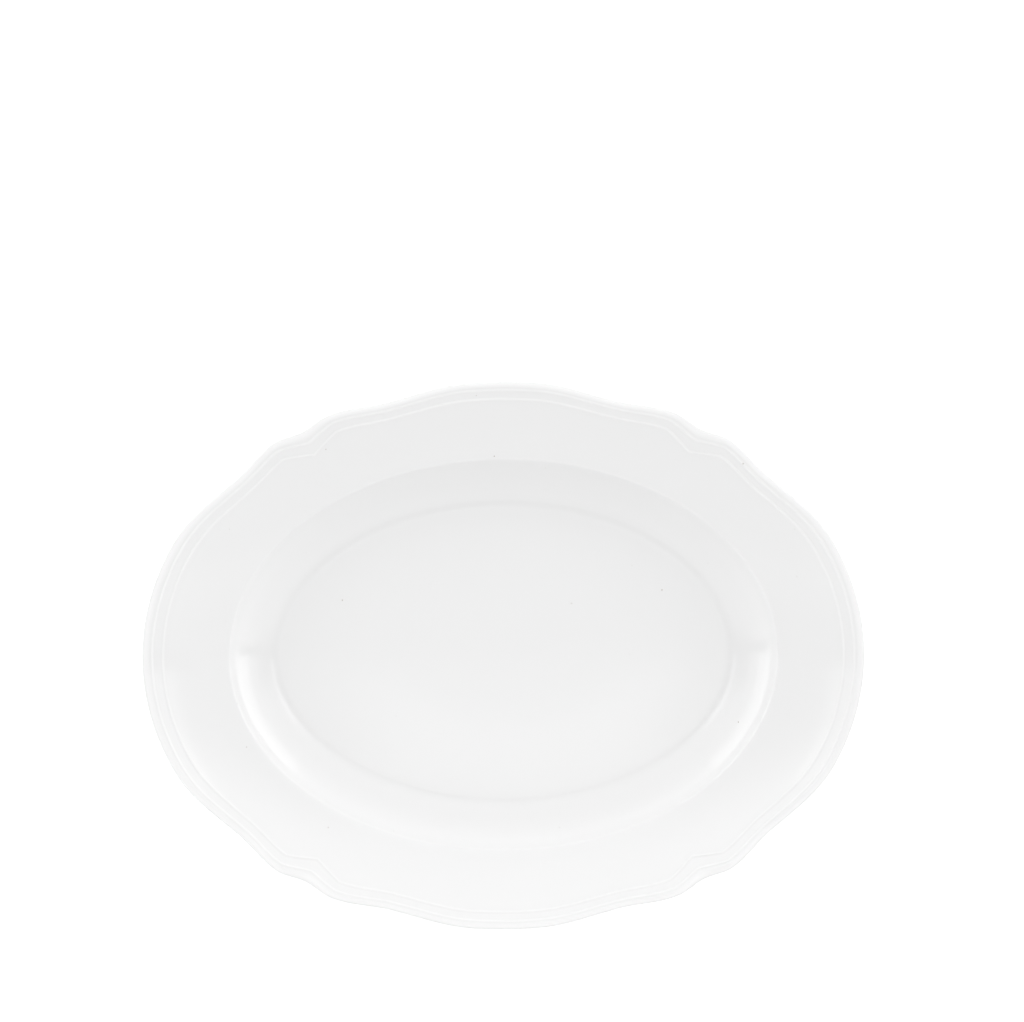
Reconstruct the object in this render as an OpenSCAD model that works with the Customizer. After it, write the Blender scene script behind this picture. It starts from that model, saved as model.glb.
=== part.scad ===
// Oval serving platter in white glazed porcelain, with a bracketed, moulded rim.
//
// Millimetres. The origin is on the resting surface, under the middle of the platter:
// +X along the length, +Y along the width, +Z up.
//
// Plan: the well edge is an ellipse, and every other line is measured straight out from it.
// A place on the platter is therefore an ellipse angle t and a distance d outside the well edge
// (negative inside). The rim repeats in each quarter: a wide lobe at the end, a waist,
// a notch between two small shoulders, a second waist, and a wide lobe at the side.

/* [Overall] */
// Length over the rim, end to end
platter_length = 340; // [310:1:370]
// Width over the rim, side to side
platter_width = 258; // [240:1:280]
// Height from the resting surface to the top of the lip
platter_height = 31; // [30:0.5:34]

/* [Rim] */
// How far the rim reaches beyond the well edge at each end
rim_reach_end = 39.7; // [37:0.1:43]
// How far the rim reaches beyond the well edge at each side
rim_reach_side = 36; // [34:0.1:39]
// Width of the moulding, from its inner bead to the edge, at each end
moulding_width_end = 9.6; // [9:0.1:12]
// Width of the moulding, from its inner bead to the edge, at each side
moulding_width_side = 8.1; // [7.6:0.1:10]
// How far the edge draws in at the waist next to each end lobe
end_waist_depth = 3.5; // [0:0.1:5]
// How far the edge draws in at the waist next to each side lobe
side_waist_depth = 2.9; // [0:0.1:4]
// Depth of the soft notch in the edge
edge_notch_depth = 2; // [0:0.1:3]
// Depth of the sharp notch that the inner bead makes
bead_notch_depth = 5.4; // [0:0.1:7]
// Height of the two beads above the rim
bead_height = 0.12; // [0.06:0.02:0.3]
// How far the band between the beads is let into the rim
band_depth = 0.1; // [0:0.05:0.3]
// How far the rolled lip's crest lies below the slope of the rim, carried on to there
crest_fall = 0.25; // [0.15:0.05:0.4]
// Slope of the rim where it leaves the well edge, in degrees
rim_slope = 8; // [4:0.5:10]
// Thickness of the rim next to the well
rim_thickness = 4.7; // [4:0.1:6]
// Thickness of the rim next to the lip
rim_edge_thickness = 3.7; // [3.2:0.1:4.5]

/* [Well] */
// Height of the floor above the resting surface
floor_height = 8; // [7.5:0.1:9]
// Distance from the well edge to where the floor is flat
floor_margin = 24; // [22:0.5:26]
// Thickness of the wall of the well
wall_thickness = 4.8; // [4:0.1:5.5]

/* [Foot] */
// Height of the foot ring
foot_height = 3.5; // [3:0.1:4]
// Width of the foot ring
foot_width = 4; // [3:0.1:6]

/* [Glaze] */
// Thickness of the glaze
glaze = 0.3; // [0.2:0.05:0.4]
// Height of the bare, ground band at the bottom of the foot ring
bare_height = 0.8; // [0.5:0.1:1.5]

/* [Back mark] */
// Length of the oval of the printed mark
mark_length = 26; // [18:1:40]
// Width of the oval of the printed mark
mark_width = 18; // [12:1:28]

/* [Hidden] */

// Well edge
well_a = platter_length / 2 - rim_reach_end;
well_b = platter_width / 2 - rim_reach_side;

// Angles in the quarter from the end (0) to the side (90), and how far each feature spreads
end_waist = 38.5;
end_waist_spread = 17;
side_waist = 69.5;
side_waist_spread = 15;
waist_to_shoulder = 10.5;
notch = 53.5;
notch_spread = 5.5;

// Share of each waist that the inner bead follows
inner_waist = 0.82;

// Moulding: places between the inner bead (0) and the edge (1), and half the width of a bead
second_bead = 0.52;
lip_crest = 0.85;
lip_shoulder = 0.95;
bead_half = 0.9;

// Rolled lip: how far it falls below the slope of the rim at its shoulder, at the edge
// and at the nose, how far the nose is drawn in, and where the plain back of the rim starts
shoulder_fall = 0.6;
edge_fall = 1.3;
nose_fall = 3;
nose_inset = 0.6;
lip_back_inset = 3;

// Section of the well: a fillet, then a cove that steepens up to a rounded arris
fillet_run = 5;
fillet_slope = 20;
cove_slope = 52;
cove_steps = 3;
arris_start = 1;
arris_radius = 1.9;
fillet_radius = fillet_run / sin(fillet_slope);
cove_run = floor_margin - fillet_run - arris_start;
cove_radius = cove_run / (sin(cove_slope) - sin(fillet_slope));
fillet_centre = [-floor_margin, floor_height + fillet_radius];
fillet_end = fillet_centre + fillet_radius * [sin(fillet_slope), -cos(fillet_slope)];
cove_centre = fillet_end + cove_radius * [-sin(fillet_slope), cos(fillet_slope)];
cove_end = cove_centre + cove_radius * [sin(cove_slope), -cos(cove_slope)];
arris_centre = cove_end + arris_radius * [sin(cove_slope), -cos(cove_slope)];
rim_start = arris_centre + arris_radius * [-sin(rim_slope), cos(rim_slope)];

// Rim: the slope grows evenly, and puts the lip's crest at the platter's height
rim_run = rim_reach_end - (1 - lip_crest) * moulding_width_end - rim_start[0];
rim_rise = platter_height + crest_fall - rim_start[1];

// Underside: concentric with the cove, then a soft bend under the well edge
back_radius = cove_radius + wall_thickness;
back_base = foot_height - glaze;
back_slope_start = acos((cove_centre[1] - back_base) / back_radius);
back_slope_end = 44;
back_steps = 3;
bend_end = 10;
bend_pull = 0.4;
bend_steps = 2;

// Foot ring
foot_outer = -floor_margin;
foot_inner = foot_outer - foot_width;

// Back mark
mark_thickness = 0.25;
mark_line = 0.8;
leaf_length = 9;
leaf_radius = 7;
leaf_spread = 50;
bud_radius = 1;
sprig_root = -mark_width / 4;
round_sides = 64;

// How far a cut runs past the face that it opens
clear = 1;

// Ellipse angles of the columns: even steps along the two lobes, and finer ones in the bracket
bracket_half = 15;
bracket_steps = 10;
end_lobe_steps = 7;
side_lobe_steps = 4;
end_lobe = notch - bracket_half;
side_lobe = 90 - notch - bracket_half;
quarter = concat(
    [for (i = [0 : end_lobe_steps - 1]) i * end_lobe / end_lobe_steps],
    [for (i = [0 : bracket_steps]) end_lobe + 2 * bracket_half * i / bracket_steps],
    [for (i = [side_lobe_steps - 1 : -1 : 1]) 90 - i * side_lobe / side_lobe_steps]
);
half = concat(quarter, [90], [for (i = [len(quarter) - 1 : -1 : 1]) 180 - quarter[i]]);
columns = concat(half, [for (t = half) t + 180]);

// ---- plan ----

function mix(a, b, x) = a + (b - a) * x;

function outward(t) = let (n = [well_b * cos(t), well_a * sin(t)]) n / norm(n);

// The point at distance d outside the well edge
function plan(t, d) = [well_a * cos(t), well_b * sin(t)] + d * outward(t);

function outline(d) = [for (t = columns) plan(t, d)];

// An ellipse angle folded into the first quarter
function folded(t) = let (h = t % 180) h > 90 ? 180 - h : h;

// How near t is to a feature, 1 at its centre and 0 from its spread outward
function near(t, centre, before, after) =
    1 - min(1, abs(t - centre) / (t < centre ? before : after));

function soft(x) = pow(sin(90 * x), 2);

// Distance of a moulding line from the well edge: m is 0 at the inner bead and 1 at the edge
function reach(t, m) =
    let (
        q = folded(t),
        at_end = rim_reach_end - (1 - m) * moulding_width_end,
        at_side = rim_reach_side - (1 - m) * moulding_width_side,
        waist = mix(inner_waist, 1, m),
        end_dip = end_waist_depth * soft(near(q, end_waist, end_waist_spread, waist_to_shoulder)),
        side_dip = side_waist_depth * soft(near(q, side_waist, waist_to_shoulder, side_waist_spread)),
        x = near(q, notch, notch_spread, notch_spread),
        notch_dip = mix(bead_notch_depth * x, edge_notch_depth * soft(x), m)
    )
    mix(at_side, at_end, pow(cos(q), 2)) - waist * (end_dip + side_dip) - notch_dip;

// ---- section, as points [d, z] on the finished surface ----

// Height of the plain rim
function rim_z(d) =
    let (x = d - rim_start[0])
    rim_start[1] + tan(rim_slope) * x
    + (rim_rise - tan(rim_slope) * rim_run) * pow(x / rim_run, 2);

function rim_back_z(d) = rim_z(d) - mix(rim_thickness, rim_edge_thickness, d / rim_reach_end);

// Numbers in even steps from a to b, without a itself
function steps(a, b, count) = [for (i = [1 : count]) mix(a, b, i / count)];

// Points on an arc by the slope there: its centre is above the surface, or below it if the
// radius is negative
function arc(centre, radius, slopes) =
    [for (s = slopes) centre + radius * [sin(s), -cos(s)]];

// A point on the moulding: line m, moved in by inset and raised by relief
function moulded(t, m, inset, relief) =
    let (d = reach(t, m) - inset) [d, rim_z(d) + relief];

// A bead on line m, between the reliefs at its inner and outer foot
function bead(t, m, inner, outer) = [
    moulded(t, m, bead_half, inner),
    moulded(t, m, 0, bead_height),
    moulded(t, m, -bead_half, outer)
];

function lip(t) = [
    moulded(t, lip_crest, 0, -crest_fall),
    moulded(t, lip_shoulder, 0, -shoulder_fall),
    moulded(t, 1, 0, -edge_fall),
    moulded(t, 1, nose_inset, -nose_fall)
];

function rim_middle(t) =
    let (d = (rim_start[0] + reach(t, 0)) / 2) [d, rim_z(d)];

well_section = concat(
    arc(fillet_centre, fillet_radius, [0, fillet_slope / 2, fillet_slope]),
    arc(cove_centre, cove_radius, steps(fillet_slope, cove_slope, cove_steps)),
    arc(arris_centre, -arris_radius, [(cove_slope + rim_slope) / 2, rim_slope])
);

// The bend under the well edge, from the rim's back to the wall's back
bend_from = [bend_end, rim_back_z(bend_end)];
bend_to = arc(cove_centre, back_radius, [back_slope_end])[0];
bend_reach = bend_pull * norm(bend_from - bend_to);
bend_near_rim = bend_from - bend_reach * [cos(rim_slope), sin(rim_slope)];
bend_near_wall = bend_to + bend_reach * [cos(back_slope_end), sin(back_slope_end)];
function bend(u) =
    pow(1 - u, 3) * bend_from
    + 3 * pow(1 - u, 2) * u * bend_near_rim
    + 3 * (1 - u) * pow(u, 2) * bend_near_wall
    + pow(u, 3) * bend_to;

back_section = concat(
    [bend_from],
    [for (u = steps(0, 1, bend_steps)) bend(u)],
    arc(cove_centre, back_radius, steps(back_slope_end, back_slope_start, back_steps))
);

function back_of_lip(t) = let (d = reach(t, 1) - lip_back_inset) [d, rim_back_z(d)];

function finished(t) =
    concat(well_section, [rim_middle(t)], bead(t, 0, 0, -band_depth / 2),
           bead(t, second_bead, -band_depth, 0), lip(t), [back_of_lip(t)], back_section);

// The section of the fired body: the finished one, less the glaze.
// Its two ends are on flat faces, so there the glaze is measured straight up or down.
function turned(v) = [-v[1], v[0]] / norm(v);
function bare(section) =
    let (last = len(section) - 1)
    [for (i = [0 : last])
        i == 0 ? section[0] - [0, glaze]
        : i == last ? section[last] + [0, glaze]
        : section[i] - glaze * turned(section[i + 1] - section[i - 1])];

// The glaze turns down the outside of the foot ring, and stops above the bearing face
foot_turn = [
    [foot_outer + glaze, back_base],
    [foot_outer + glaze, bare_height],
    [foot_outer, bare_height],
    [foot_outer, foot_height]
];

function backwards(list) = [for (i = [len(list) - 1 : -1 : 0]) list[i]];

// ---- solids ----

// A closed solid swept round the platter from one section a column, with flat ends.
// From row `turn` on, the sections run back over the first ones, and their quads are split
// along the other diagonal, so that both layers have the same triangles.
module swept(sections, turn) {
    n = len(columns);
    rows = len(sections[0]);
    points = [
        for (r = [0 : rows - 1])
            for (c = [0 : n - 1])
                concat(plan(columns[c], sections[c][r][0]), sections[c][r][1])
    ];
    walls = [
        for (r = [0 : rows - 2])
            for (c = [0 : n - 1])
                let (
                    d = (c + 1) % n,
                    p = r * n + c,
                    q = r * n + d,
                    odd_quarter = floor(columns[c] / 90) % 2 == 1,
                    run_back = r >= turn
                )
                each odd_quarter == run_back
                    ? [[p, q, q + n], [p, q + n, p + n]]
                    : [[p, q, p + n], [q, q + n, p + n]]
    ];
    first = [for (c = [n - 1 : -1 : 0]) c];
    last = [for (c = [0 : n - 1]) (rows - 1) * n + c];
    polyhedron(points, concat([first], walls, [last]));
}

module porcelain_body() {
    sections = [for (t = columns) bare(finished(t))];
    color("whitesmoke") swept(sections, len(sections[0]));
}

module foot_ring() {
    color("antiquewhite")
    linear_extrude(foot_height)
    difference() {
        polygon(outline(foot_outer));
        polygon(outline(foot_inner));
    }
}

module outer_glaze() {
    sections = [
        for (t = columns)
            let (f = finished(t)) concat(f, foot_turn, backwards(bare(f)))
    ];
    color("white") swept(sections, len(finished(0)) + len(foot_turn));
}

module recess_glaze() {
    color("white")
    translate([0, 0, bare_height])
    difference() {
        linear_extrude(foot_height - bare_height) polygon(outline(foot_inner));
        translate([0, 0, -clear])
        linear_extrude(back_base - bare_height + clear) polygon(outline(foot_inner - glaze));
    }
}

module oval(length, width) {
    scale([length / width, 1, 1]) circle(d = width, $fn = round_sides);
}

module leaf() {
    half = leaf_length / 2;
    sink = sqrt(leaf_radius * leaf_radius - half * half);
    translate([half, 0])
    intersection_for (side = [-1, 1])
        translate([0, side * sink]) circle(r = leaf_radius, $fn = round_sides);
}

module back_mark() {
    color("steelblue")
    translate([0, 0, back_base - mark_thickness])
    linear_extrude(mark_thickness) {
        difference() {
            oval(mark_length, mark_width);
            oval(mark_length - 2 * mark_line, mark_width - 2 * mark_line);
        }
        translate([0, sprig_root]) {
            circle(r = bud_radius, $fn = round_sides);
            for (turn = [-1 : 1])
                rotate(90 + turn * leaf_spread) leaf();
        }
    }
}

porcelain_body();
foot_ring();
outer_glaze();
recess_glaze();
back_mark();
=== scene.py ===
"""The looks of an oval porcelain serving platter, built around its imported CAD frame.

Metres, +X along the platter, +Y across it, +Z up. The platter is swept from sections: a section
is a row of places (d, z), where d is the distance outside the well edge, which is an ellipse,
and every column of the sweep has an ellipse angle.
"""

import math

import bpy
import numpy as np
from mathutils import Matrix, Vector


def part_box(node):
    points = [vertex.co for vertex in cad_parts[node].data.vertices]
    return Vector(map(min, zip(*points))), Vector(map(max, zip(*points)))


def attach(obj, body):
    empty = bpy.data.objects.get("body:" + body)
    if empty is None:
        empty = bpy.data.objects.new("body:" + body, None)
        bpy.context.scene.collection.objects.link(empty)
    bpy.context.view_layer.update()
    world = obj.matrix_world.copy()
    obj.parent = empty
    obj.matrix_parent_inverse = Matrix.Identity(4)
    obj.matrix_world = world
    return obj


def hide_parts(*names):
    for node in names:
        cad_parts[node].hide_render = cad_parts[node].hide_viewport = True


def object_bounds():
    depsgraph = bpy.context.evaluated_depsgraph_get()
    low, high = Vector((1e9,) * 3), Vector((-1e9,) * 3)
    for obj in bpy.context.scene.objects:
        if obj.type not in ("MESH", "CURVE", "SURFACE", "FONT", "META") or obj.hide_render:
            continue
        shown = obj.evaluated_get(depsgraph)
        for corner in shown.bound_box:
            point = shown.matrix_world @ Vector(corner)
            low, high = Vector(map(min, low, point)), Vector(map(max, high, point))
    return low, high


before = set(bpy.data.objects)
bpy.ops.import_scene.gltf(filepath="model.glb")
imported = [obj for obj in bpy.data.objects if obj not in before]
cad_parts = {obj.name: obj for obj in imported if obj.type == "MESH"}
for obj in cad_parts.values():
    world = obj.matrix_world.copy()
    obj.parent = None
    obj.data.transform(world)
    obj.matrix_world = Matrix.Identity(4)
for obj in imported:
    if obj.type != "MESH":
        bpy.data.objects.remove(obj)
cad_box = [list(corner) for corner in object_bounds()]

MM = 0.001
BODY = "root"

# ---- sizes, from the frame ----

half_length, half_width, platter_height = cad_box[1]
foot_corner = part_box("foot_ring")[1]
foot_height = foot_corner.z
glaze = half_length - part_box("porcelain_body")[1].x
bare_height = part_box("recess_glaze")[0].z

# ---- sizes of the design, as in the CAD ----

# The rim and its moulding, at the ends of the platter and at its sides
rim_reach_end = 39.7 * MM
rim_reach_side = 36 * MM
moulding_width_end = 9.6 * MM
moulding_width_side = 8.1 * MM
end_waist_depth = 3.5 * MM
side_waist_depth = 2.9 * MM
edge_notch_depth = 2 * MM
bead_notch_depth = 5.4 * MM
bead_height = 0.12 * MM
bead_half = 0.9 * MM
band_depth = 0.1 * MM
rim_slope = math.radians(8)
rim_thickness = 4.7 * MM
rim_edge_thickness = 3.7 * MM

# Moulding lines, as shares of the way from the inner bead to the edge
second_bead = 0.52
before_lip = 0.632
lip_start = 0.68
lip_crest = 0.85
lip_shoulder = 0.95

# How deep the waists are at the inner bead, as a share of their depth at the edge
inner_waist = 0.82

# How far the lip lies below the slope of the rim, carried on to there
crest_fall = 0.25 * MM
shoulder_fall = 0.6 * MM
edge_fall = 1.3 * MM
nose_fall = 3 * MM

# How far the nose and the underside of the lip lie inside the edge
nose_inset = 0.6 * MM
lip_back_inset = 3 * MM
lip_back_end = 7 * MM

# The smooth lip swings out a little between its stations, so it is eased in by this much
lip_ease = 0.03 * MM

# Ellipse angles of the waists and the notch in each quarter, in degrees
end_waist = 38.5
end_waist_spread = 17
side_waist = 69.5
side_waist_spread = 15
waist_to_shoulder = 10.5
notch = 53.5
notch_spread = 5.5

# The well, from its floor out to its edge
floor_height = 8 * MM
floor_margin = 24 * MM
wall_thickness = 4.8 * MM
fillet_run = 5 * MM
fillet_slope = math.radians(20)
cove_slope = math.radians(52)
arris_start = 1 * MM
arris_radius = 1.9 * MM
well_a = half_length - rim_reach_end
well_b = half_width - rim_reach_side

# The back: the soft bend under the well edge, the wall and the foot ring
bend_end = 10 * MM
bend_pull = 0.4
back_slope_end = math.radians(44)
back_base = foot_height - glaze
foot_width = 4 * MM
foot_outer = foot_corner.x - well_a
foot_inner = foot_outer - foot_width
back_corner = 1.2 * MM
recess_corner = 1.4 * MM

# ---- how thick the glaze is, from -1 where it thins over an edge to 1 where it gathers; partly its own colour and partly painted highlight and painted shade ----

# Thicker glaze is greyer and also paints shade in the fillet, at the bead feet and on the lip's nose;
# thinner glaze is whiter and also paints highlights on the arris, the bead crowns and the lip's crest
fillet_glaze_and_shade = (0, 0.08, 0.1, 0.08)
cove_glaze_and_shade = (0.08,) + 9 * (0,)
arris_glaze_and_highlight = (0, -1, 0)
bead_foot_glaze_and_shade = 0.12
bead_crown_glaze_and_highlight = -0.6
beside_crest_glaze_and_highlight = -0.3
crest_glaze_and_highlight = -1
nose_glaze_and_shade = 1

# ---- how finely the sweep is divided ----

# Degrees between columns on the lobes, and in the bracket where the outline turns sharply
lobe_step = 1
bracket_step = 0.5
bracket_start = 36
bracket_end = 72

# Rows on each round stretch
fillet_count = 11
cove_count = 19
arris_count = 10
bead_count = 11
bend_count = 9
wall_back_count = 11

# Steps across each other stretch, and between two stations of the lip
rim_steps = 11
band_steps = 6
before_lip_steps = 3
lip_steps = 5
rim_back_steps = 7
face_steps = 10
glaze_floor_steps = 5
body_floor_steps = 8
recess_steps = 16
coat_count = 4
foot_side_count = 5
bearing_steps = 5
foot_top_steps = 4

# Slopes, in degrees, of the rows on the rounded parts beside the foot ring
back_corner_slopes = [15, 35, 55, 75]
recess_corner_slopes = [0, 20, 40, 60, 80]
round_end_slopes = [30, 60, 90]
ground_slopes = [15, 30, 45, 60, 75, 90]

# The body is out of sight under its glaze, so it keeps only every third row
body_thinning = 3


def column_angles():
    """Ellipse angles of the columns, in degrees, the same in every quarter."""
    quarter = np.concatenate([
        np.arange(0, bracket_start, lobe_step),
        np.arange(bracket_start, bracket_end, bracket_step),
        np.arange(bracket_end, 90, lobe_step),
    ])
    half_turn = np.concatenate([quarter, [90], 180 - quarter[:0:-1]])
    return np.concatenate([half_turn, half_turn + 180])


angles = column_angles()
COLUMNS = len(angles)


# ---- plan ----

def mix(a, b, x):
    """From a at 0 to b at 1."""
    return a + (b - a) * x


def outward(t):
    """The level direction straight out from the well edge, for each angle."""
    n = np.stack([well_b * np.cos(t), well_a * np.sin(t)], axis=-1)
    return n / np.linalg.norm(n, axis=-1, keepdims=True)


def plan(d):
    """The points at distance d (one number, or one a column) outside the well edge."""
    t = np.radians(angles)
    edge = np.stack([well_a * np.cos(t), well_b * np.sin(t)], axis=-1)
    return edge + np.broadcast_to(d, angles.shape)[:, None] * outward(t)


def near(t, centre, before, after):
    """1 at a feature's centre, and 0 from its spread outward."""
    return 1 - np.minimum(1, np.abs(t - centre) / np.where(t < centre, before, after))


def soft(x):
    """0 to 1 with a level start and end."""
    return np.sin(np.pi / 2 * x) ** 2


def reach(m):
    """Distance of a moulding line from the well edge, for every column: m is 0 at the inner
    bead and 1 at the edge. Every quarter has the shape of the first."""
    turned = angles % 180
    t = np.where(turned > 90, 180 - turned, turned)
    at_end = rim_reach_end - (1 - m) * moulding_width_end
    at_side = rim_reach_side - (1 - m) * moulding_width_side
    waist = mix(inner_waist, 1, m)
    end_dip = end_waist_depth * soft(near(t, end_waist, end_waist_spread, waist_to_shoulder))
    side_dip = side_waist_depth * soft(near(t, side_waist, waist_to_shoulder, side_waist_spread))
    into_notch = near(t, notch, notch_spread, notch_spread)
    notch_dip = mix(bead_notch_depth * into_notch, edge_notch_depth * soft(into_notch), m)
    lobes = mix(at_side, at_end, np.cos(np.radians(t)) ** 2)
    return lobes - waist * (end_dip + side_dip) - notch_dip


# ---- section ----

def polar(angle):
    """The direction from the centre of a hollow arc to where its slope is this angle."""
    return np.array([math.sin(angle), -math.cos(angle)])


fillet_radius = fillet_run / math.sin(fillet_slope)
cove_run = floor_margin - fillet_run - arris_start
cove_radius = cove_run / (math.sin(cove_slope) - math.sin(fillet_slope))
fillet_centre = np.array([-floor_margin, floor_height + fillet_radius])
fillet_end = fillet_centre + fillet_radius * polar(fillet_slope)
cove_centre = fillet_end - cove_radius * polar(fillet_slope)
cove_end = cove_centre + cove_radius * polar(cove_slope)
arris_centre = cove_end + arris_radius * polar(cove_slope)
rim_start = arris_centre - arris_radius * polar(rim_slope)
rim_run = rim_reach_end - (1 - lip_crest) * moulding_width_end - rim_start[0]
rim_rise = platter_height + crest_fall - lip_ease - rim_start[1]

back_radius = cove_radius + wall_thickness
back_slope_start = math.acos((cove_centre[1] - back_base) / back_radius)


def rim_z(d):
    """Height of the rim's face, which steepens a little on its way out."""
    x = d - rim_start[0]
    rest = rim_rise - math.tan(rim_slope) * rim_run
    return rim_start[1] + math.tan(rim_slope) * x + rest * (x / rim_run) ** 2


def rim_back_z(d):
    """Height of the rim's back, which comes nearer to the face on its way out."""
    return rim_z(d) - mix(rim_thickness, rim_edge_thickness, d / rim_reach_end)


def row(d, z, glaze_and_painted_light=0.0):
    """One row of the sweep: a place (d, z) for each column, and how thick the glaze is there, which
    also carries painted highlight or shade.
    """
    return np.stack([np.broadcast_to(v, angles.shape) for v in (d, z, glaze_and_painted_light)], axis=-1)


def arc(centre, radius, start, end, count, glaze_and_light_values=(0, 0)):
    """Rows on an arc round a centre above the surface, by the slope of the surface there, with
    the glaze's thickness, and the painted highlight or shade that it carries, changing from the first
    given value to the last."""
    slopes = np.linspace(start, end, count)
    glaze_and_light_shares = np.interp(slopes, np.linspace(start, end, len(glaze_and_light_values)), glaze_and_light_values)
    return [row(*(centre + radius * polar(s)), glaze_and_light_share) for s, glaze_and_light_share in zip(slopes, glaze_and_light_shares)]


def well_rows():
    """The fillet, the cove and the arris, from the flat floor to the start of the rim."""
    # The fillet's thicker glaze paints a little shade, and the arris's thinner glaze paints a highlight
    fillet = arc(fillet_centre, fillet_radius, 0, fillet_slope, fillet_count, fillet_glaze_and_shade)
    cove = arc(cove_centre, cove_radius, fillet_slope, cove_slope, cove_count, cove_glaze_and_shade)
    arris = arc(arris_centre, -arris_radius, cove_slope, rim_slope, arris_count, arris_glaze_and_highlight)
    return fillet + cove[1:] + arris[1:]


def between(first, last, steps):
    """Distances that run evenly from one line to another, without their ends."""
    return [mix(first, last, i / steps) for i in range(1, steps)]


def bead_rows(m, inner, outer):
    """A round bead on moulding line m, between the reliefs at its inner and outer foot."""
    rows = []
    for u in np.linspace(-1, 1, bead_count):
        d = reach(m) + u * bead_half
        base = mix(inner, outer, soft((u + 1) / 2))
        crown = bead_height - mix(inner, outer, 0.5)
        height = math.cos(math.pi / 2 * u) ** 2
        # Thicker glaze at the bead's feet paints a little shade, and thinner glaze on its crown paints
        # a highlight
        glaze_and_painted_light = mix(bead_foot_glaze_and_shade, bead_crown_glaze_and_highlight, height)
        rows.append(row(d, rim_z(d) + base + crown * height, glaze_and_painted_light))
    return rows


def moulding_rows():
    """The plain rim and the two beads with their band, as far as the start of the lip."""
    bead_in = reach(0) - bead_half
    bead_out = reach(0) + bead_half
    second_in = reach(second_bead) - bead_half
    second_out = reach(second_bead) + bead_half
    rim = [row(d, rim_z(d)) for d in between(rim_start[0], bead_in, rim_steps)]
    band = []
    for i, d in enumerate(between(bead_out, second_in, band_steps)):
        depth = band_depth * mix(0.5, 1, soft((i + 1) / band_steps))
        band.append(row(d, rim_z(d) - depth))
    plain = [row(d, rim_z(d)) for d in between(second_out, reach(lip_start), before_lip_steps)]
    first = bead_rows(0, 0, -band_depth / 2)
    second = bead_rows(second_bead, -band_depth, 0)
    return rim + first + band + second + plain


def spline(stations, steps):
    """Rows on a smooth curve through the stations, from the second to the last but one."""
    rows = []
    for a, b, c, e in zip(stations, stations[1:], stations[2:], stations[3:]):
        for i in range(steps):
            x = i / steps
            rows.append(0.5 * (2 * b + (c - a) * x + (2 * a - 5 * b + 4 * c - e) * x ** 2
                               + (3 * b - a - 3 * c + e) * x ** 3))
    rows.append(stations[-2])
    return rows


def moulded(m, inset_by, relief, glaze_and_painted_light):
    """A row near moulding line m: this far inside it, and this far above the rim's slope."""
    d = reach(m) - inset_by
    return row(d, rim_z(d) + relief, glaze_and_painted_light)


def lip_rows():
    """The lip's crest, its nose and its underside, as far as the plain back of the rim, with
    thinner glaze over the crest, which paints a highlight there, and thicker glaze on the nose, which
    paints shade there."""
    inner = reach(1) - lip_back_inset
    deeper = reach(1) - lip_back_end
    stations = [
        moulded(before_lip, 0, 0, 0),
        moulded(lip_start, 0, 0, beside_crest_glaze_and_highlight),
        moulded(lip_crest, 0, -crest_fall, crest_glaze_and_highlight),
        moulded(lip_shoulder, 0, -shoulder_fall, beside_crest_glaze_and_highlight),
        moulded(1, lip_ease, -edge_fall, nose_glaze_and_shade),
        moulded(1, nose_inset, -nose_fall, nose_glaze_and_shade),
        row(inner, rim_back_z(inner)),
        row(deeper, rim_back_z(deeper)),
    ]
    return spline(stations, lip_steps)


def bend(u):
    """A place on the soft bend under the well edge, from the rim's back to the wall's."""
    start = np.array([bend_end, rim_back_z(bend_end)])
    end = cove_centre + back_radius * polar(back_slope_end)
    pull = bend_pull * np.linalg.norm(start - end)
    near_rim = start - pull * np.array([math.cos(rim_slope), math.sin(rim_slope)])
    near_wall = end + pull * np.array([math.cos(back_slope_end), math.sin(back_slope_end)])
    return ((1 - u) ** 3 * start + 3 * (1 - u) ** 2 * u * near_rim
            + 3 * (1 - u) * u ** 2 * near_wall + u ** 3 * end)


def back_rows():
    """The back of the rim, the bend and the back of the wall, down to the foot."""
    inner = reach(1) - lip_back_inset
    rim = [row(d, rim_back_z(d)) for d in between(inner, bend_end, rim_back_steps)]
    curve = [row(*bend(u)) for u in np.linspace(0, 1, bend_count)]
    wall = arc(cove_centre, back_radius, back_slope_end, back_slope_start, wall_back_count)
    return rim + curve + wall[1:]


# ---- meshes ----

def raised(rows):
    """Points of the sweep, from rows of (d, z), with how thick the glaze is at each and the painted
    highlight or shade that this carries.
    """
    return [np.column_stack([plan(r[:, 0]), r[:, 1:]]) for r in rows]


def disc(ring, steps):
    """Level rows that run from near the middle out to a ring, without the ring. The glaze's
    thickness, with the painted highlight or shade that it carries, is even from a short way inside it."""
    evening = 8
    shares = [i / steps for i in range(1, steps)]
    return [ring * np.array([s, s, 1, s ** evening]) for s in shares]


def inset(rows):
    """The rows moved in by the glaze, which at both ends is straight up or down."""
    places = np.array(rows)[..., :2]
    along = np.empty_like(places)
    along[1:-1] = places[2:] - places[:-2]
    along[0] = [1, 0]
    along[-1] = [-1, 0]
    along /= np.linalg.norm(along, axis=-1, keepdims=True)
    normal = np.stack([-along[..., 1], along[..., 0]], axis=-1)
    return [row(*r.T) for r in places - glaze * normal]


def thinned(rows, step):
    """Every so many rows, with both ends kept."""
    return rows[:-1:step] + [rows[-1]]


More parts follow.
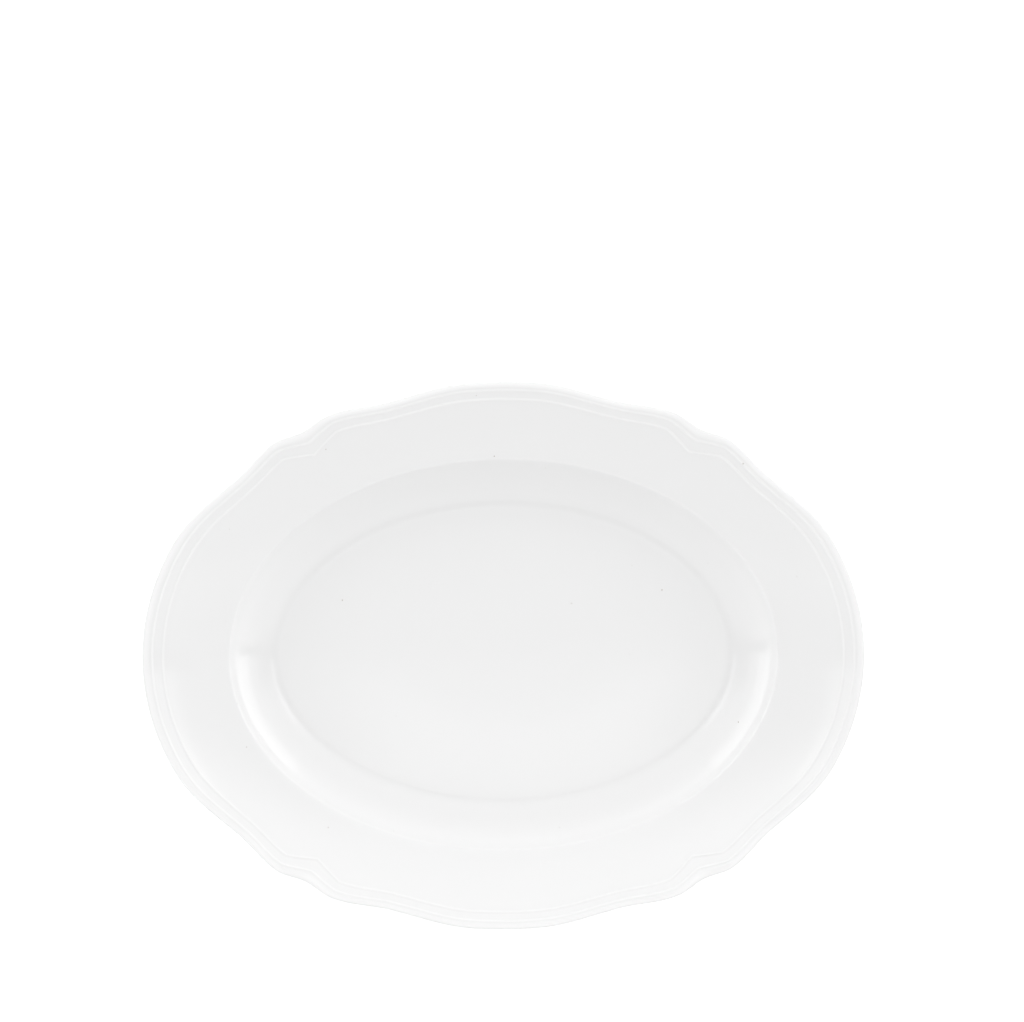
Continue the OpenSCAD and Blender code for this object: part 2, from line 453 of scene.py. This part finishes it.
def solid(name, rows, top=None, bottom=None, closed=False):
    """A mesh of quads through rows of points: with a middle point at each end, or closed on
    itself as a ring."""
    count = len(rows)
    column = np.arange(COLUMNS)
    following = (column + 1) % COLUMNS
    faces = []
    for r in range(count if closed else count - 1):
        here = r * COLUMNS
        there = (r + 1) % count * COLUMNS
        faces.append(np.column_stack([here + column, there + column, there + following,
                                      here + following]))
    faces = np.concatenate(faces).tolist()
    swept = np.concatenate(rows)
    points = swept[:, :3].tolist()
    glaze_and_light_values = swept[:, 3].tolist()
    if top is not None:
        middle = len(points)
        points.append(top)
        faces += [[middle, c, (c + 1) % COLUMNS] for c in range(COLUMNS)]
    if bottom is not None:
        middle = len(points)
        points.append(bottom)
        end = (count - 1) * COLUMNS
        faces += [[middle, end + (c + 1) % COLUMNS, end + c] for c in range(COLUMNS)]
    glaze_and_light_values += [0.0] * (len(points) - len(glaze_and_light_values))
    mesh = bpy.data.meshes.new(name)
    mesh.from_pydata(points, [], faces)
    mesh.shade_smooth()
    mesh.update()
    # The glaze's thickness, with its painted highlights and painted shade, is kept on the mesh for the
    # material
    mesh.attributes.new("glaze_and_painted_light", "FLOAT", "POINT").data.foreach_set("value", glaze_and_light_values)
    piece = bpy.data.objects.new(name, mesh)
    bpy.context.scene.collection.objects.link(piece)
    return piece


def beside_foot(side, away, corner, corner_slopes):
    """The glaze on one side of the foot ring: the round corner above it, the coat down the
    ring, its round end, and its hidden top. Away is 1 outside the ring and -1 inside it."""
    skin = side + away * glaze
    rows = []
    for slope in np.radians(corner_slopes):
        d = skin + away * corner * (1 - math.sin(slope))
        z = back_base - corner * (1 - math.cos(slope))
        rows.append(row(d, z))
    coat = np.linspace(back_base - corner, bare_height + glaze, coat_count)
    rows += [row(skin, z) for z in coat]
    for slope in np.radians(round_end_slopes):
        d = side + away * glaze * math.cos(slope)
        z = bare_height + glaze * (1 - math.sin(slope))
        rows.append(row(d, z))
    return rows + [row(side, foot_height)]


def outer_glaze_piece(finished, hidden):
    """The coat over the face, the lip and the back, closed by its own inner surface."""
    top = raised(finished + beside_foot(foot_outer, 1, back_corner, back_corner_slopes))
    under = raised(hidden[::-1])
    face = disc(top[0], face_steps)
    floor = disc(under[-1], glaze_floor_steps)
    rows = face + top + under + floor[::-1]
    centre = [0, 0, floor_height]
    return solid("glazed_face_and_back", rows, centre, [0, 0, floor_height - glaze])


def body_piece(hidden):
    """The fired porcelain under the glaze."""
    surface = raised(hidden)
    face = disc(surface[0], body_floor_steps)
    base = disc(surface[-1], body_floor_steps)
    rows = face + surface + base[::-1]
    return solid("fired_body", rows, [0, 0, floor_height - glaze], [0, 0, foot_height])


def ground_edge(side, inward):
    """The round edge on one side of the foot ring, from its side down to its bearing face."""
    rows = []
    for slope in np.radians(ground_slopes):
        d = side + inward * bare_height * (1 - math.cos(slope))
        z = bare_height * (1 - math.sin(slope))
        rows.append(row(d, z))
    return rows


def foot_piece():
    """The foot ring, with its bearing edges ground round."""
    edge = bare_height
    rows = [row(foot_outer, z) for z in np.linspace(foot_height, edge, foot_side_count)]
    rows += ground_edge(foot_outer, -1)
    rows += [row(d, 0) for d in between(foot_outer - edge, foot_inner + edge, bearing_steps)]
    rows += ground_edge(foot_inner, 1)[::-1]
    rows += [row(foot_inner, z) for z in np.linspace(edge, foot_height, foot_side_count)]
    rows += [row(d, foot_height) for d in between(foot_inner, foot_outer, foot_top_steps)]
    return solid("ground_foot_ring", raised(rows), closed=True)


def recess_glaze_piece():
    """The glaze inside the foot ring, with its hidden upper face on the body."""
    seen = raised(beside_foot(foot_inner, -1, recess_corner, recess_corner_slopes))
    hidden = disc(seen[-1], body_floor_steps)
    rows = disc(seen[0], recess_steps) + seen + hidden[::-1]
    return solid("glazed_recess", rows[::-1], [0, 0, foot_height], [0, 0, back_base])


# ---- materials ----

class Graph:
    """The nodes of a material or of the room's light."""

    def __init__(self, owner):
        owner.use_nodes = True
        self.nodes = owner.node_tree.nodes
        self.links = owner.node_tree.links

    def put(self, node, socket, value):
        """Give a socket a value, which is a number, a colour or another node's output."""
        if isinstance(value, bpy.types.NodeSocket):
            self.links.new(value, node.inputs[socket])
        else:
            node.inputs[socket].default_value = value

    def math(self, operation, a, b=0.0):
        """The result of one operation on two values, or on the first where it takes one."""
        node = self.nodes.new("ShaderNodeMath")
        node.operation = operation
        self.put(node, 0, a)
        self.put(node, 1, b)
        return node.outputs["Value"]

    def ramp(self, value, start, end):
        """0 up to start, 1 from end, and smooth between them, where start may be the greater."""
        node = self.nodes.new("ShaderNodeMapRange")
        node.interpolation_type = "SMOOTHSTEP"
        self.put(node, "Value", value)
        self.put(node, "From Min", start)
        self.put(node, "From Max", end)
        return node.outputs["Result"]

    def seen(self):
        """1 for what the camera itself sees, and 0 for what is lit or reflected."""
        return self.nodes.new("ShaderNodeLightPath").outputs["Is Camera Ray"]


class Surface(Graph):
    """A procedural material: a Principled shader and the nodes that feed it."""

    def __init__(self, name, **sockets):
        self.material = bpy.data.materials.new(name)
        super().__init__(self.material)
        self.shader = self.nodes["Principled BSDF"]
        for socket, value in sockets.items():
            self.shader.inputs[socket.replace("_", " ")].default_value = value
        self.place = self.nodes.new("ShaderNodeTexCoord").outputs["Object"]

    def feed(self, socket, value):
        """Give one of the shader's sockets a value."""
        self.put(self.shader, socket, value)

    def noise(self, size, detail=2.0, roughness=0.5):
        """Noise whose lumps are about size metres across."""
        node = self.nodes.new("ShaderNodeTexNoise")
        self.put(node, "Vector", self.place)
        self.put(node, "Scale", 1 / size)
        self.put(node, "Detail", detail)
        self.put(node, "Roughness", roughness)
        return node.outputs["Fac"]

    def span(self, value, first, last):
        """0 to 1 turned into first to last."""
        node = self.nodes.new("ShaderNodeMapRange")
        self.put(node, "Value", value)
        self.put(node, "To Min", first)
        self.put(node, "To Max", last)
        return node.outputs["Result"]

    def blend(self, share, first, second):
        """A colour between two, by share."""
        node = self.nodes.new("ShaderNodeMix")
        node.data_type = "RGBA"
        self.put(node, "Factor", share)
        self.put(node, "A", first)
        self.put(node, "B", second)
        return next(o for o in node.outputs if o.type == "RGBA")

    def cells(self, size):
        """Flat cells about size across, seen from above: how far a place is from its cell's
        point, as a share of size, and a number that each cell has."""
        node = self.nodes.new("ShaderNodeTexVoronoi")
        node.voronoi_dimensions = "2D"
        self.put(node, "Vector", self.place)
        self.put(node, "Scale", 1 / size)
        split = self.nodes.new("ShaderNodeSeparateColor")
        self.put(split, "Color", node.outputs["Color"])
        return node.outputs["Distance"], split.outputs["Red"]

    def attribute(self, name):
        """A number kept on the mesh."""
        node = self.nodes.new("ShaderNodeAttribute")
        node.attribute_name = name
        return node.outputs["Fac"]

    def bump(self, height, depth):
        """Raise the surface by up to depth metres where height is 1."""
        node = self.nodes.new("ShaderNodeBump")
        self.put(node, "Height", height)
        self.put(node, "Distance", depth)
        self.feed("Normal", node.outputs["Normal"])


def grey(value, warmth=0.0):
    """A grey colour, more red and less blue by the share warmth."""
    return (value * (1 + warmth), value, value * (1 - warmth), 1)


def glazed_porcelain():
    """White porcelain under a clear gloss glaze, with a faint ripple and a few tiny specks. It
    is greyer where the glaze is thick and whiter where it is thinner, partly its own colour and
    partly painted shade in the fillet, at the bead feet and on the lip's nose and painted
    highlights on the arris, the bead crowns and the lip's crest. A cell whose speck would be
    smaller than nothing has none."""
    s = Surface("glazed_porcelain", IOR=1.5)
    even = s.blend(s.noise(70 * MM, detail=3), grey(0.875), grey(0.885))
    glaze_and_painted_light = s.attribute("glaze_and_painted_light")
    thin_glaze_and_highlight = s.math("MULTIPLY", glaze_and_painted_light, -1.0)
    # Thicker glaze turns greyer, partly its own colour and partly painted shade; thinner glaze turns
    # whiter, partly its own colour and partly a painted highlight
    thick_glaze_and_shade = s.blend(s.math("MAXIMUM", glaze_and_painted_light, 0.0), even, grey(0.82))
    base = s.blend(s.math("MAXIMUM", thin_glaze_and_highlight, 0.0), thick_glaze_and_shade, grey(0.94))
    apart = 38 * MM
    least = -0.2 * MM
    most = 0.32 * MM
    distance, number = s.cells(apart)
    speck = s.math("LESS_THAN", distance, s.span(number, least / apart, most / apart))
    s.feed("Base Color", s.blend(speck, base, grey(0.5, 0.08)))
    s.feed("Roughness", s.span(s.noise(25 * MM), 0.02, 0.05))
    s.bump(s.noise(9 * MM, detail=2), 0.02 * MM)
    return s.material


def bare_porcelain():
    """The ground foot: matt, fine grained, greyed a little where it has slid on shelves."""
    s = Surface("bare_porcelain", IOR=1.45)
    grain = s.noise(0.8 * MM, detail=6, roughness=0.65)
    worn = s.ramp(s.noise(11 * MM, detail=4), 0.52, 0.66)
    base = s.blend(grain, grey(0.70, 0.03), grey(0.80, 0.025))
    s.feed("Base Color", s.blend(s.math("MULTIPLY", worn, 0.45), base, grey(0.50, 0.03)))
    s.feed("Roughness", s.span(grain, 0.55, 0.8))
    s.bump(grain, 0.06 * MM)
    return s.material


def fired_porcelain():
    """The biscuit under the glaze: matt white and finely grained."""
    s = Surface("fired_porcelain", IOR=1.45)
    grain = s.noise(0.6 * MM, detail=5)
    s.feed("Base Color", s.blend(grain, grey(0.80, 0.01), grey(0.86, 0.01)))
    s.feed("Roughness", s.span(grain, 0.6, 0.8))
    s.bump(grain, 0.03 * MM)
    return s.material


def printed_mark():
    """Grey-blue print under gloss, a little uneven as a transfer is."""
    s = Surface("printed_mark", IOR=1.5)
    uneven = s.noise(1.6 * MM, detail=4)
    s.feed("Base Color", s.blend(uneven, (0.10, 0.16, 0.24, 1), (0.24, 0.32, 0.42, 1)))
    s.feed("Roughness", s.span(uneven, 0.08, 0.16))
    return s.material


def white_paper():
    """White paper that also glows to the camera, as an over-lit sweep looks, and that lights
    the platter only by what it reflects."""
    glow = 0.45
    s = Surface("white_paper", Roughness=0.9, Emission_Color=(1, 1, 1, 1))
    s.feed("Base Color", s.blend(s.noise(3 * MM), grey(0.88), grey(0.9)))
    s.feed("Emission Strength", s.math("MULTIPLY", s.seen(), glow))
    return s.material


# ---- pieces ----

def paint(piece, material):
    """Give a piece this material and no other."""
    piece.data.materials.clear()
    piece.data.materials.append(material)


def finish(piece, material, node):
    """Give a piece its material and its body, and hide the CAD node that it stands for."""
    paint(piece, material)
    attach(piece, BODY)
    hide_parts(node)


def build_platter():
    """The four pieces that replace CAD nodes, and the mark, which is its own CAD node."""
    finished = well_rows() + moulding_rows() + lip_rows() + back_rows()
    hidden = thinned(inset(finished), body_thinning)
    glazed = glazed_porcelain()
    finish(outer_glaze_piece(finished, hidden), glazed, "outer_glaze")
    finish(body_piece(hidden), fired_porcelain(), "porcelain_body")
    finish(foot_piece(), bare_porcelain(), "foot_ring")
    finish(recess_glaze_piece(), glazed, "recess_glaze")
    paint(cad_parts["back_mark"], printed_mark())


# ---- stage, light and camera ----

def add_floor():
    """A plain white floor, much wider than what the camera above it sees."""
    side = 4
    mesh = bpy.data.meshes.new("floor")
    corners = [(-side, -side, 0), (side, -side, 0), (side, side, 0), (-side, side, 0)]
    mesh.from_pydata(corners, [], [(0, 1, 2, 3)])
    floor = bpy.data.objects.new("floor", mesh)
    bpy.context.scene.collection.objects.link(floor)
    mesh.materials.append(white_paper())


class Room(Graph):
    """The light of a white studio: a glow that comes from every side, by direction.

    Right, left, back and up are the parts of the direction that the light comes from. Elevation
    is its height in degrees, from_right and from_left are its degrees round to the back from
    each side, and from_top is the sine of its angle from straight overhead."""

    def __init__(self, glow):
        self.world = bpy.data.worlds.new("room")
        super().__init__(self.world)
        split = self.nodes.new("ShaderNodeSeparateXYZ")
        self.put(split, 0, self.nodes.new("ShaderNodeTexCoord").outputs["Generated"])
        self.right, self.back, self.up = split.outputs
        self.left = self.math("MULTIPLY", self.right, -1.0)
        self.elevation = self.degrees("ARCSINE", self.up)
        self.from_right = self.degrees("ARCTAN2", self.back, self.right)
        self.from_left = self.degrees("ARCTAN2", self.back, self.left)
        across = self.math("POWER", self.right, 2.0)
        along = self.math("POWER", self.back, 2.0)
        self.from_top = self.math("SQRT", self.math("ADD", across, along))
        self.glow = glow

    def degrees(self, operation, a, b=0.0):
        """The angle that an operation gives, in degrees."""
        return self.math("DEGREES", self.math(operation, a, b))

    def add(self, radiance, *edges):
        """Add light where every edge, given as a value, its start and its end, is passed."""
        share = radiance
        for value, start, end in edges:
            share = self.math("MULTIPLY", self.ramp(value, start, end), share)
        self.glow = self.math("ADD", self.glow, share)

    def finish(self):
        """Light the scene. What the camera itself sees beyond the floor is plain white."""
        background = self.nodes["Background"]
        self.put(background, "Color", (1, 1, 1, 1))
        self.put(background, "Strength", self.math("MAXIMUM", self.glow, self.seen()))
        bpy.context.scene.world = self.world


def add_horizon(room):
    """Brighter low down, behind the platter and at both sides."""
    room.add(0.4, (room.back, -0.3, 0.4), (room.elevation, 24, 2))
    room.add(0.35, (room.right, 0.4, 0.9), (room.elevation, 24, 2))
    room.add(0.35, (room.left, 0.4, 0.9), (room.elevation, 24, 2))


def add_windows(room):
    """A window on each side at the back, the right one a little brighter, each with an upper
    pane and a dark post at its front edge."""
    elevation = room.elevation
    window_height = ((elevation, -2, 1), (elevation, 25, 18))
    room.add(1.1, (room.from_right, -4, -1), (room.from_right, 49, 46), *window_height)
    room.add(0.85, (room.from_left, -4, -1), (room.from_left, 49, 46), *window_height)
    for side in (room.from_right, room.from_left):
        room.add(1.1, (side, -3, -1), (side, 44, 30), (elevation, 52, 56), (elevation, 70, 65))
        room.add(-1.0, (side, -9, -7), (side, -2, -4), (elevation, 4, 8), (elevation, 72, 68))


def add_ceiling(room):
    """Bright overhead at the back and darker overhead in front, with a faint strip below."""
    right, back, elevation = room.right, room.back, room.elevation
    room.add(0.45, (back, 0.08, 0.25), (elevation, 44, 60))
    room.add(-0.62, (back, -0.17, -0.27), (elevation, 52, 60), (right, -0.5, -0.3), (right, 0.5, 0.3))
    room.add(0.15, (back, -0.3, -0.5), (elevation, 22, 34), (elevation, 58, 48))


def add_camera_shade(room):
    """The shade of the camera straight overhead and of its stand, which reaches to both sides,
    with the light that shows past the front of the camera."""
    right, back, elevation = room.right, room.back, room.elevation
    stand = ((back, 0.3, 0.08), (back, -0.3, -0.08), (elevation, 28, 40))
    room.add(-0.75, (right, 0.05, 0.12), *stand)
    room.add(-0.9, (right, -0.05, -0.12), *stand)
    room.add(-0.3, (right, -0.12, -0.05), (right, 0.12, 0.05), (back, 0.08, 0.02), (back, -0.05, -0.04))
    room.add(0.55, (room.from_top, 0.058, 0.066), (back, -0.02, -0.05), (back, -0.16, -0.1),
             (right, -0.055, -0.03), (right, 0.055, 0.03))


def add_light():
    """A white room, with its windows, its ceiling and what stands over the platter."""
    base_glow = 1.036
    room = Room(base_glow)
    add_horizon(room)
    add_windows(room)
    add_ceiling(room)
    add_camera_shade(room)
    room.finish()


def add_camera():
    """Straight above, with the platter low in the picture and turned a fraction of a degree."""
    distance = 1.6
    turn = math.radians(-0.42)
    aside = 4.1 * MM
    above = 68.1 * MM
    camera = bpy.data.cameras.new("camera")
    camera.sensor_width = 36
    camera.lens = 117.2
    camera.clip_start = 0.05
    view = bpy.data.objects.new("camera", camera)
    right = Vector((math.cos(turn), math.sin(turn), 0))
    up = Vector((-math.sin(turn), math.cos(turn), 0))
    view.location = aside * right + above * up + Vector((0, 0, distance))
    view.rotation_euler = (0, 0, turn)
    bpy.context.scene.collection.objects.link(view)
    bpy.context.scene.camera = view


add_camera()
build_platter()
add_floor()
add_light()
bpy.context.scene.view_settings.view_transform = "Standard"
